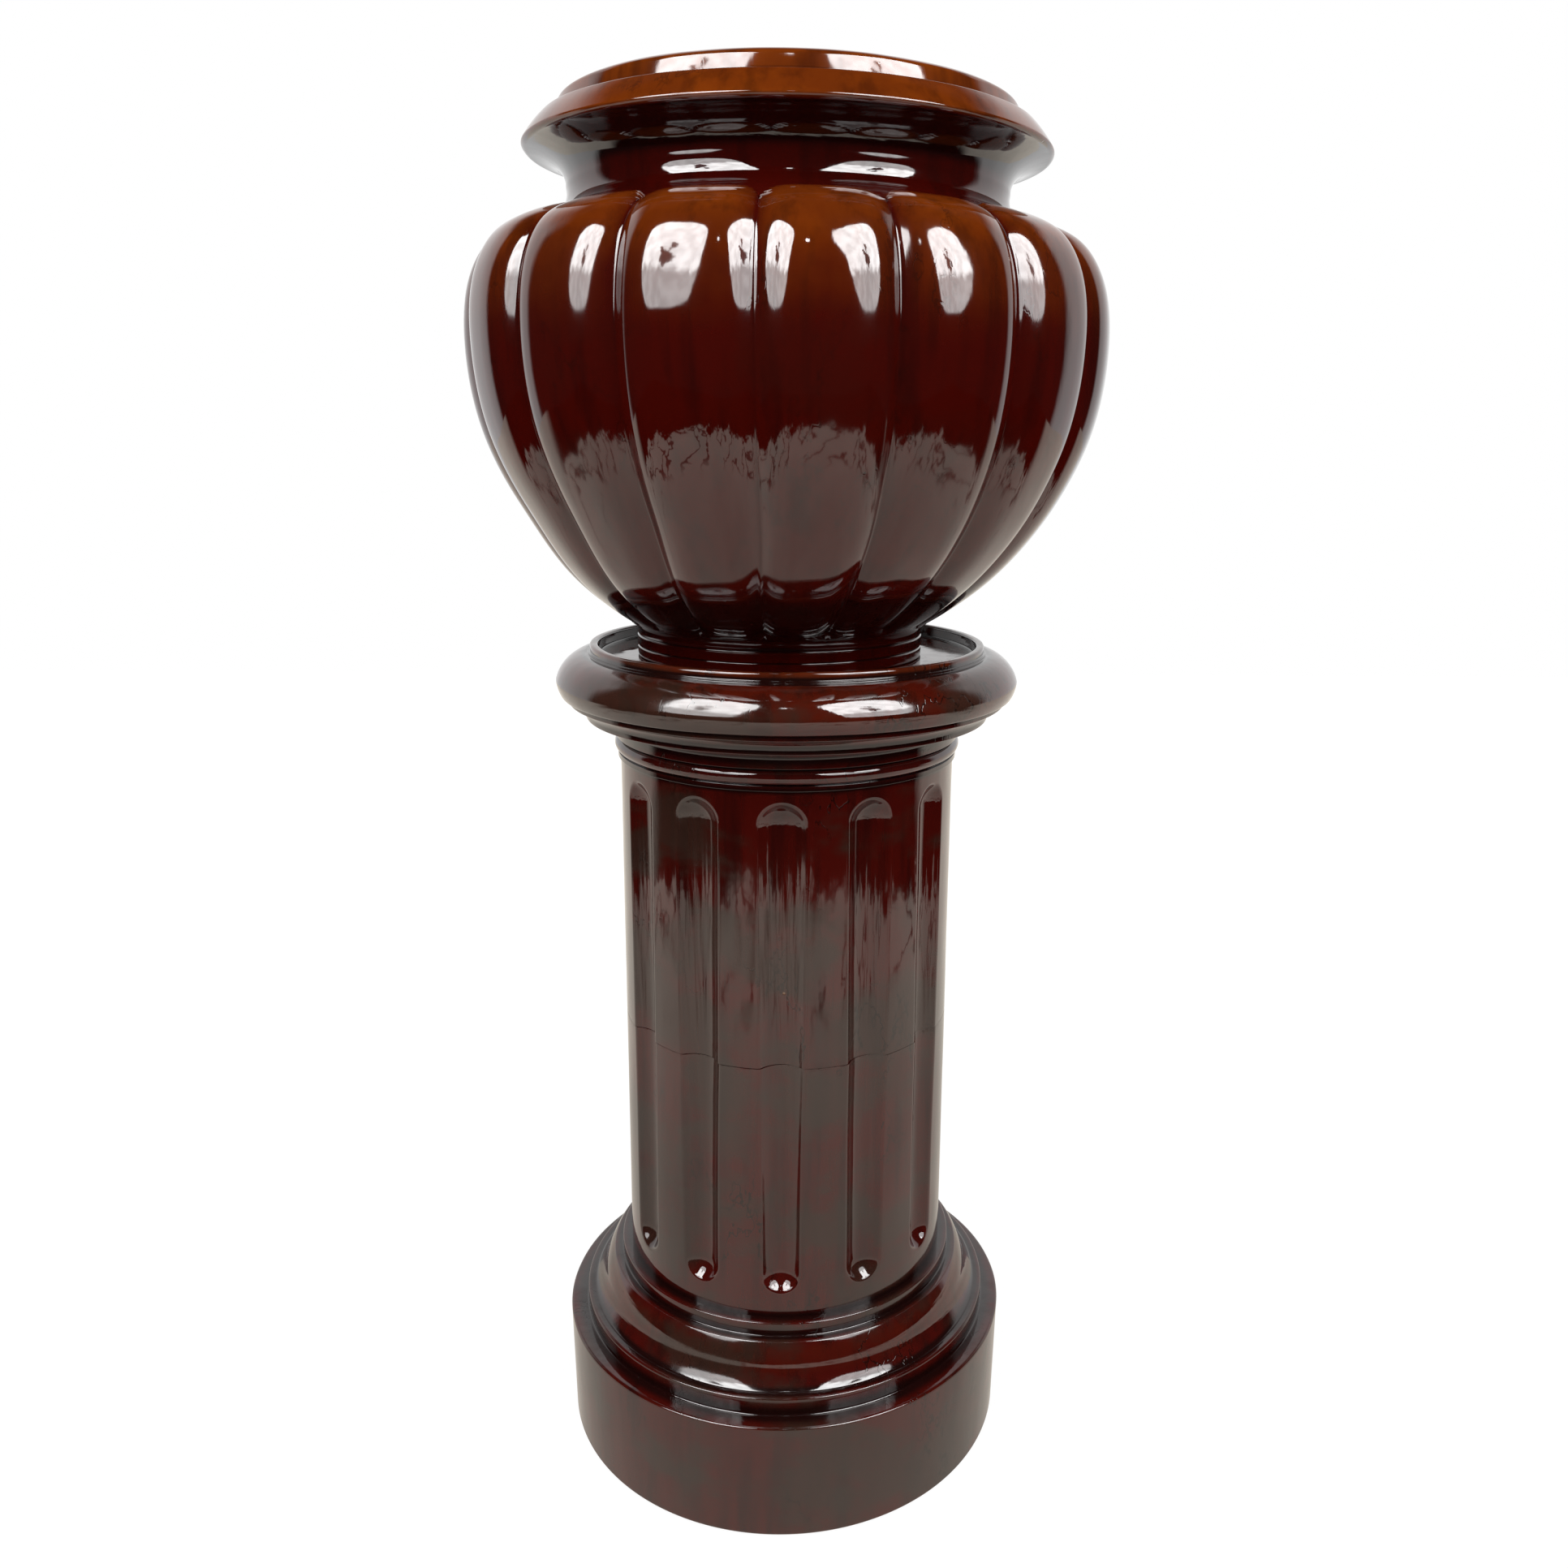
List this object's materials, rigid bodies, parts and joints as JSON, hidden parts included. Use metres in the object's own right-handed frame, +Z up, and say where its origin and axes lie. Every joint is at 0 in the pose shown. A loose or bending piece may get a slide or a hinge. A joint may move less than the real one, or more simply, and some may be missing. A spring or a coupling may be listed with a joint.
{
  "type": "jardiniere on stand",
  "caption": "glazed ceramic jardiniere with a gadrooned bulbous bowl and moulded rim, standing loose in the recessed top of a fluted column pedestal on a round plinth",
  "frame": {"origin": "centre of the plinth's underside, on the floor", "axes": "+Z up along the common axis of stand and bowl, -Y towards the viewer of the picture, +X to the viewer's right"},
  "size_m": [0.4566, 0.4566, 1.0165],
  "materials": {
    "stand_glaze": "glossy dark treacle-brown lead glaze, amber where it runs thin",
    "bowl_glaze": "glossy treacle-brown lead glaze, amber on upward faces and dark in the grooves"
  },
  "bodies": {
    "stand": {"stand_lower": "stand_glaze", "stand_upper": "stand_glaze"},
    "bowl": {"bowl": "bowl_glaze"}
  },
  "joints": [
    {"name": "bowl_lift", "type": "slide", "parent": "stand", "child": "bowl", "axis": [0, 0, 1], "range_m": [0, 0.3]}
  ]
}
